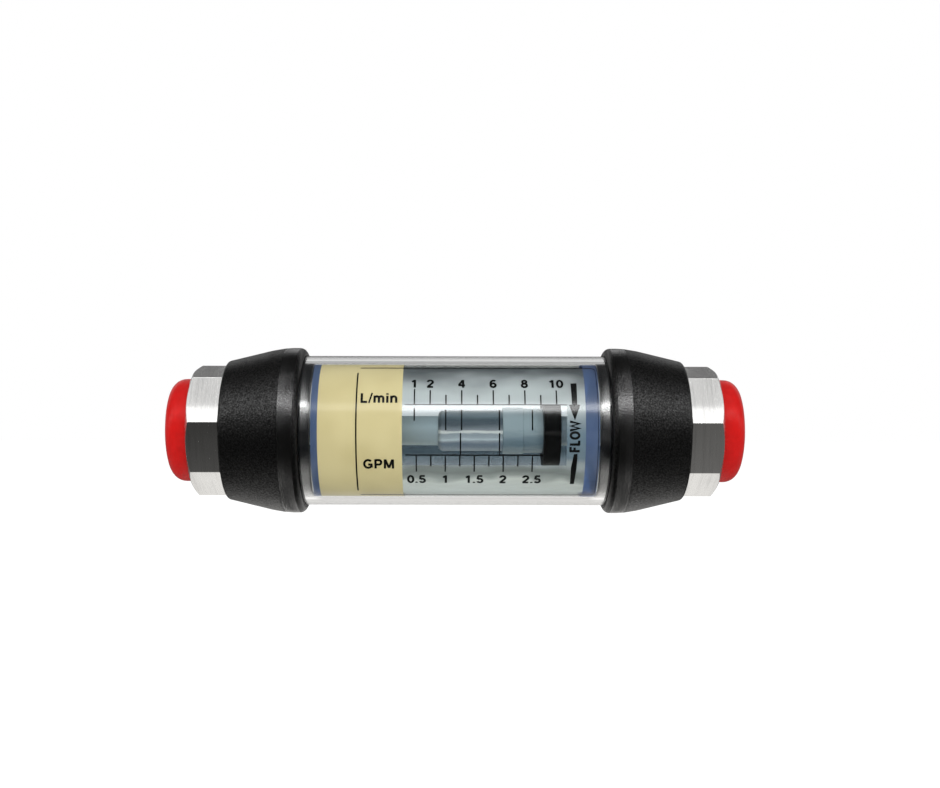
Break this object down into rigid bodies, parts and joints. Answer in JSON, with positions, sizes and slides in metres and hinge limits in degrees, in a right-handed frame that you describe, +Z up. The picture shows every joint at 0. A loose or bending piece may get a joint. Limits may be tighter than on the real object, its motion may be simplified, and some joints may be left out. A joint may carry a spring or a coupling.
{
  "type": "flow meter",
  "caption": "In-line variable-area flow meter: threaded octagonal ends, rubber bumpers, clear guard over a printed scale, and a sprung piston on a cone that moves an index ring by magnet.",
  "frame": {"origin": "middle of the meter on its flow axis", "axes": "+X along the flow, from the inlet at the left to the outlet at the right; +Z up; the scale faces -Y"},
  "size_m": [0.1844, 0.0538, 0.0538],
  "materials": {
    "end_metal": "fine brushed, turned round the axis",
    "bumper_rubber": "fine grained",
    "guard_clear": "clear, polished",
    "ring_black": "gloss black",
    "seal_rubber": "smooth",
    "support_clear": "clear, blue tint",
    "scale_print": "printed film with a clear slot",
    "casing_steel": "polished",
    "barrel_steel": "drawn, satin",
    "sleeve_plastic": "pale grey-green",
    "index_black": "dull black",
    "magnet": "ground",
    "piston_brass": "turned",
    "inner_steel": "turned",
    "spring_steel": "drawn wire",
    "plug_red": "soft, smooth"
  },
  "bodies": {
    "root": {"left_end_fitting": "end_metal", "right_end_fitting": "end_metal", "left_casing_seal": "seal_rubber", "right_casing_seal": "seal_rubber", "left_spider": "inner_steel", "right_spider": "inner_steel", "left_snap_ring": "spring_steel", "right_snap_ring": "spring_steel", "left_cone_nut": "inner_steel", "right_cone_nut": "inner_steel", "left_bumper": "bumper_rubber", "right_bumper": "bumper_rubber", "casing_tube": "casing_steel", "metering_cone": "inner_steel", "return_spring": "spring_steel", "spring_seat": "inner_steel"},
    "window": {"guard_tube": "guard_clear", "scale_support": "support_clear", "scale_film": "scale_print", "left_centring_ring": "ring_black", "right_centring_ring": "ring_black", "left_window_seal": "seal_rubber", "right_window_seal": "seal_rubber"},
    "piston": {"piston_carrier": "piston_brass", "orifice_disc": "inner_steel", "orifice_clip": "inner_steel", "transfer_magnet": "magnet", "magnet_retainer": "inner_steel"},
    "indicator": {"indicator_sleeve": "sleeve_plastic", "indicator_magnet": "magnet", "magnet_barrel": "barrel_steel", "indicator_collar": "sleeve_plastic", "index_ring": "index_black"},
    "left_plug": {"left_port_plug": "plug_red"},
    "right_plug": {"right_port_plug": "plug_red"}
  },
  "joints": [
    {"name": "window_turn", "type": "hinge", "parent": "root", "child": "window", "pos_m": [0, 0, 0], "axis": [1, 0, 0], "continuous": true},
    {"name": "piston_slide", "type": "slide", "parent": "root", "child": "piston", "axis": [1, 0, 0], "range_m": [-0.047, 0.003], "stiffness_N_per_m": 60, "springref_m": -0.055, "deforming": ["return_spring"]},
    {"name": "indicator_slide", "type": "slide", "parent": "root", "child": "indicator", "axis": [1, 0, 0], "range_m": [-0.047, 0.003]},
    {"name": "left_plug_pull", "type": "slide", "parent": "root", "child": "left_plug", "axis": [-1, 0, 0], "range_m": [0, 0.06]},
    {"name": "right_plug_pull", "type": "slide", "parent": "root", "child": "right_plug", "axis": [1, 0, 0], "range_m": [0, 0.06]}
  ],
  "couplings": [
    {"joint": "indicator_slide", "follows": "piston_slide", "ratio": 1}
  ]
}
